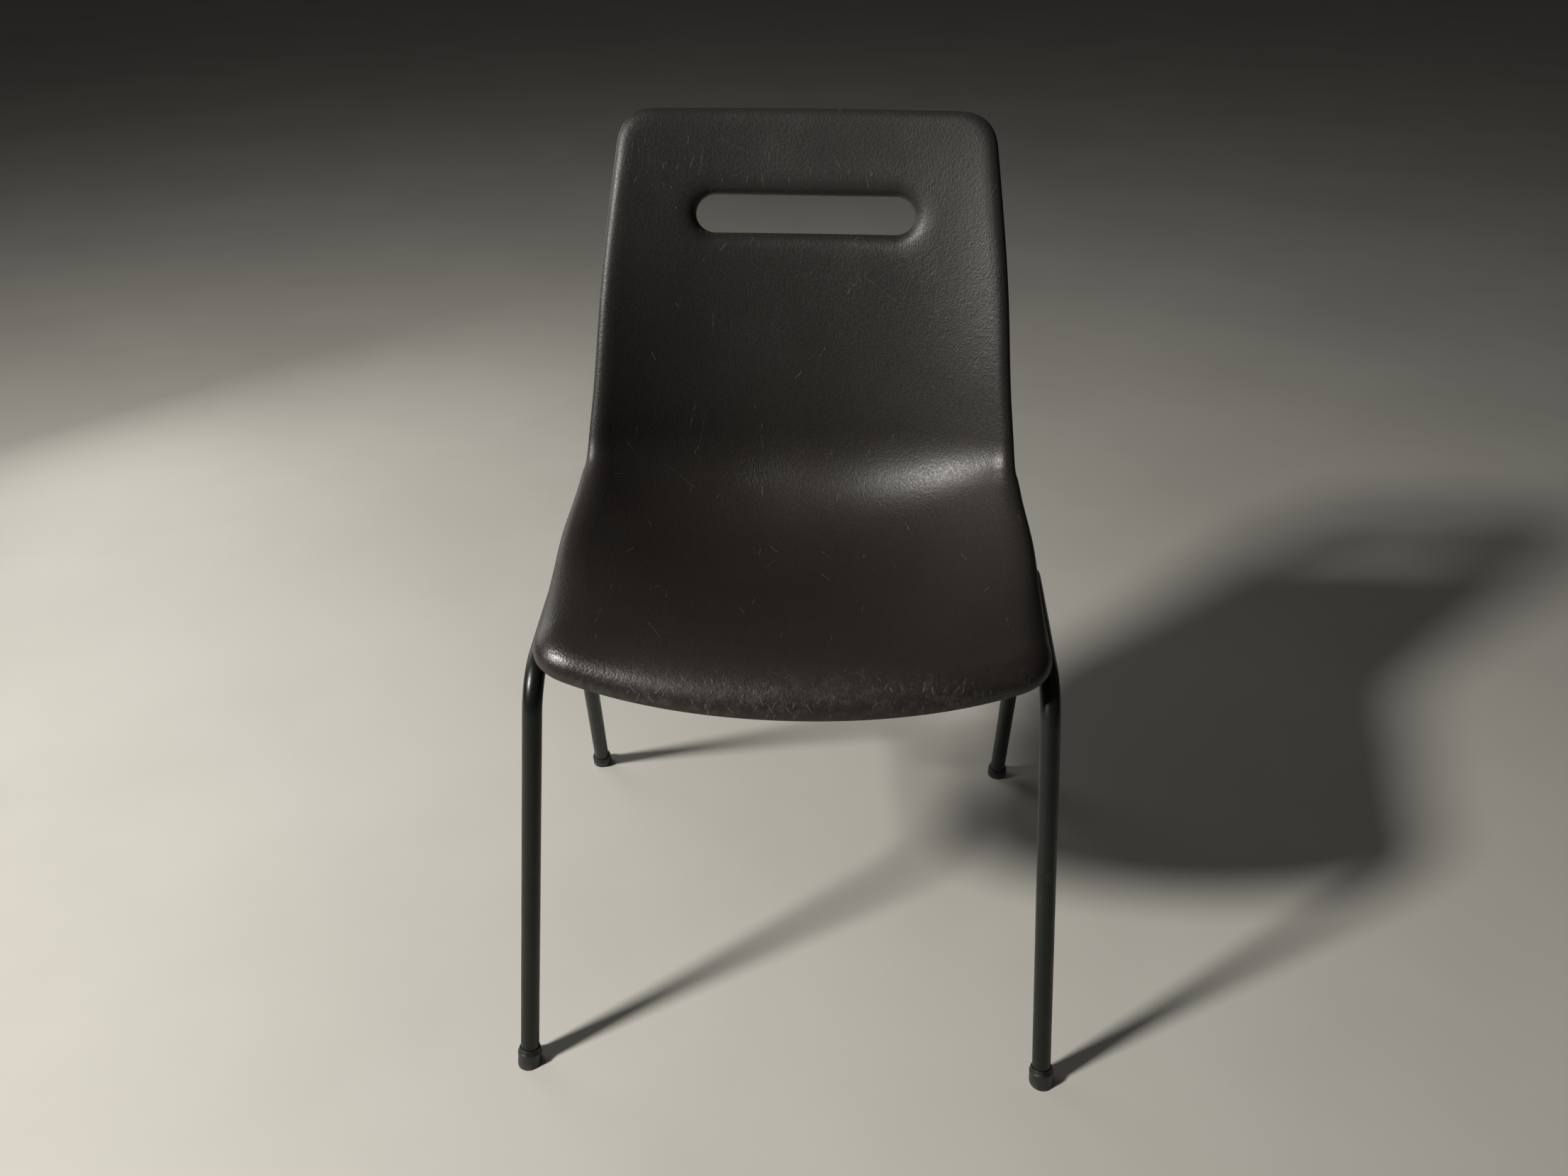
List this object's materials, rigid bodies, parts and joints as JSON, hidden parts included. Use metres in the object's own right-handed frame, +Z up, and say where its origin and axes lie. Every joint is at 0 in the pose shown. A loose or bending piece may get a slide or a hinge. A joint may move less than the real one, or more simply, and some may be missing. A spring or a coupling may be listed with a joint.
{
  "type": "stacking chair",
  "caption": "Stacking side chair: moulded plastic bucket shell with a hand slot in the back, on black bent-tube legs with rubber foot caps.",
  "frame": {"origin": "on the floor, under the middle of the chair's outer size", "axes": "+Z up, -Y towards the front of the chair, +X to the right as seen from the front"},
  "size_m": [0.5496, 0.4911, 0.8246],
  "materials": {
    "shell": "grained satin polypropylene, dark brown-black",
    "frame_paint": "black satin paint on round steel tube",
    "foot_rubber": "black moulded rubber",
    "fastener_steel": "zinc-plated steel"
  },
  "bodies": {
    "root": {"seat_shell": "shell", "side_frame_left": "frame_paint", "side_frame_right": "frame_paint", "cross_tube_front": "frame_paint", "cross_tube_rear": "frame_paint", "mounting_lug_front_left": "frame_paint", "screw_front_left": "fastener_steel", "washer_front_left": "fastener_steel", "foot_cap_front_left": "foot_rubber", "foot_disc_front_left": "fastener_steel", "mounting_lug_front_right": "frame_paint", "screw_front_right": "fastener_steel", "washer_front_right": "fastener_steel", "foot_cap_front_right": "foot_rubber", "foot_disc_front_right": "fastener_steel", "mounting_lug_rear_left": "frame_paint", "screw_rear_left": "fastener_steel", "washer_rear_left": "fastener_steel", "foot_cap_rear_left": "foot_rubber", "foot_disc_rear_left": "fastener_steel", "mounting_lug_rear_right": "frame_paint", "screw_rear_right": "fastener_steel", "washer_rear_right": "fastener_steel", "foot_cap_rear_right": "foot_rubber", "foot_disc_rear_right": "fastener_steel"}
  },
  "joints": []
}
